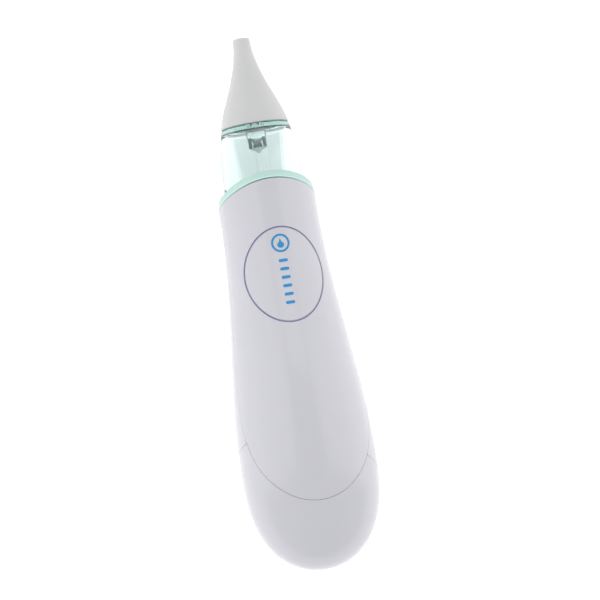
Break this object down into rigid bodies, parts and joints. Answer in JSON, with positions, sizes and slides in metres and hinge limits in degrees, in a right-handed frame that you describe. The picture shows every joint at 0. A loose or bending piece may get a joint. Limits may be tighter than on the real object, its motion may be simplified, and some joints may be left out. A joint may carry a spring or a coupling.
{
  "type": "nasal aspirator",
  "caption": "Battery-powered baby nasal aspirator with a soft tip, a clear collection chamber and an oval push button on a smooth handle.",
  "frame": {"origin": "on the flat land of the back, under the middle of the overall length", "axes": "+Y along the long axis towards the nose tip, +Z out of the button face, +X to the right seen from the front with the tip up"},
  "size_m": [0.0488, 0.192, 0.0434],
  "materials": {
    "white_shell": "glossy white plastic with a faint lavender tint",
    "mint": "satin mint plastic",
    "frosted_silicone": "frosted translucent silicone",
    "clear_aqua": "clear plastic with an aqua tint",
    "soft_clear": "translucent silicone",
    "violet_seal": "violet silicone",
    "blue_print": "blue print",
    "white_inner": "matt white plastic",
    "pump_grey": "dark grey plastic",
    "black_rubber": "black rubber",
    "steel": "plated steel",
    "bronze": "copper alloy",
    "magnet": "ferrite",
    "board_green": "green circuit board",
    "part_black": "black moulded parts",
    "cell_wrap": "plain wrapped cell",
    "lead_insulation": "insulated wire"
  },
  "bodies": {
    "handle": {"top_deck": "white_inner", "chamber_seal": "soft_clear", "collection_cup": "clear_aqua", "collar_ring": "mint", "front_shell": "white_shell", "rear_shell": "white_shell", "switch_body": "pump_grey", "chassis": "white_inner", "case_screws": "steel", "control_board": "board_green", "board_parts": "part_black", "suction_tube": "soft_clear", "pump_head": "pump_grey", "valve_sheet": "black_rubber", "valve_plate": "pump_grey", "diaphragm": "black_rubber", "crankcase": "pump_grey", "pump_screws": "steel", "motor_can": "steel", "motor_bearings": "bronze", "motor_magnets": "magnet", "motor_end_cap": "pump_grey", "motor_terminals": "bronze", "battery_tray": "white_inner", "battery_cell_left": "cell_wrap", "battery_cell_right": "cell_wrap", "tray_contacts": "steel", "tray_spring": "steel", "motor_leads": "lead_insulation", "battery_leads": "lead_insulation", "button_springs": "steel"},
    "chamber": {"chamber_dome": "clear_aqua", "drip_valve": "soft_clear"},
    "tip": {"nose_tip": "frosted_silicone"},
    "button": {"power_button": "white_shell", "button_seal": "violet_seal", "button_print": "blue_print"},
    "plunger": {"switch_plunger": "part_black"},
    "cap": {"battery_cap": "white_shell", "bridge_contact": "steel", "cap_spring": "steel"},
    "rotor": {"motor_shaft": "steel", "armature_core": "steel", "armature_windings": "bronze", "commutator": "bronze", "crank": "pump_grey", "crank_pin": "steel"},
    "yoke": {"wobble_yoke": "pump_grey"}
  },
  "joints": [
    {"name": "chamber_pull", "type": "slide", "parent": "handle", "child": "chamber", "axis": [0, 1, 0], "range_m": [0, 0.04]},
    {"name": "tip_pull", "type": "slide", "parent": "chamber", "child": "tip", "axis": [0, 1, 0], "range_m": [0, 0.014]},
    {"name": "button_press", "type": "slide", "parent": "handle", "child": "button", "axis": [0, 0, -1], "range_m": [0, 0.0012], "stiffness_N_per_m": 500, "springref_m": -0.0006, "deforming": ["button_springs"]},
    {"name": "plunger_press", "type": "slide", "parent": "handle", "child": "plunger", "axis": [0, 0, -1], "range_m": [0, 0.0012]},
    {"name": "cap_slide", "type": "slide", "parent": "handle", "child": "cap", "axis": [0, -1, 0], "range_m": [0, 0.03]},
    {"name": "rotor_spin", "type": "hinge", "parent": "handle", "child": "rotor", "pos_m": [0, -0.002, 0.0164], "axis": [0, 1, 0], "continuous": true},
    {"name": "yoke_wobble", "type": "hinge", "parent": "rotor", "child": "yoke", "pos_m": [0, 0.007, 0.0164], "axis": [0, 0.9945, 0.1045], "continuous": true, "deforming": ["diaphragm"]}
  ],
  "couplings": [
    {"joint": "plunger_press", "follows": "button_press", "ratio": 1},
    {"joint": "yoke_wobble", "follows": "rotor_spin", "ratio": -1}
  ]
}
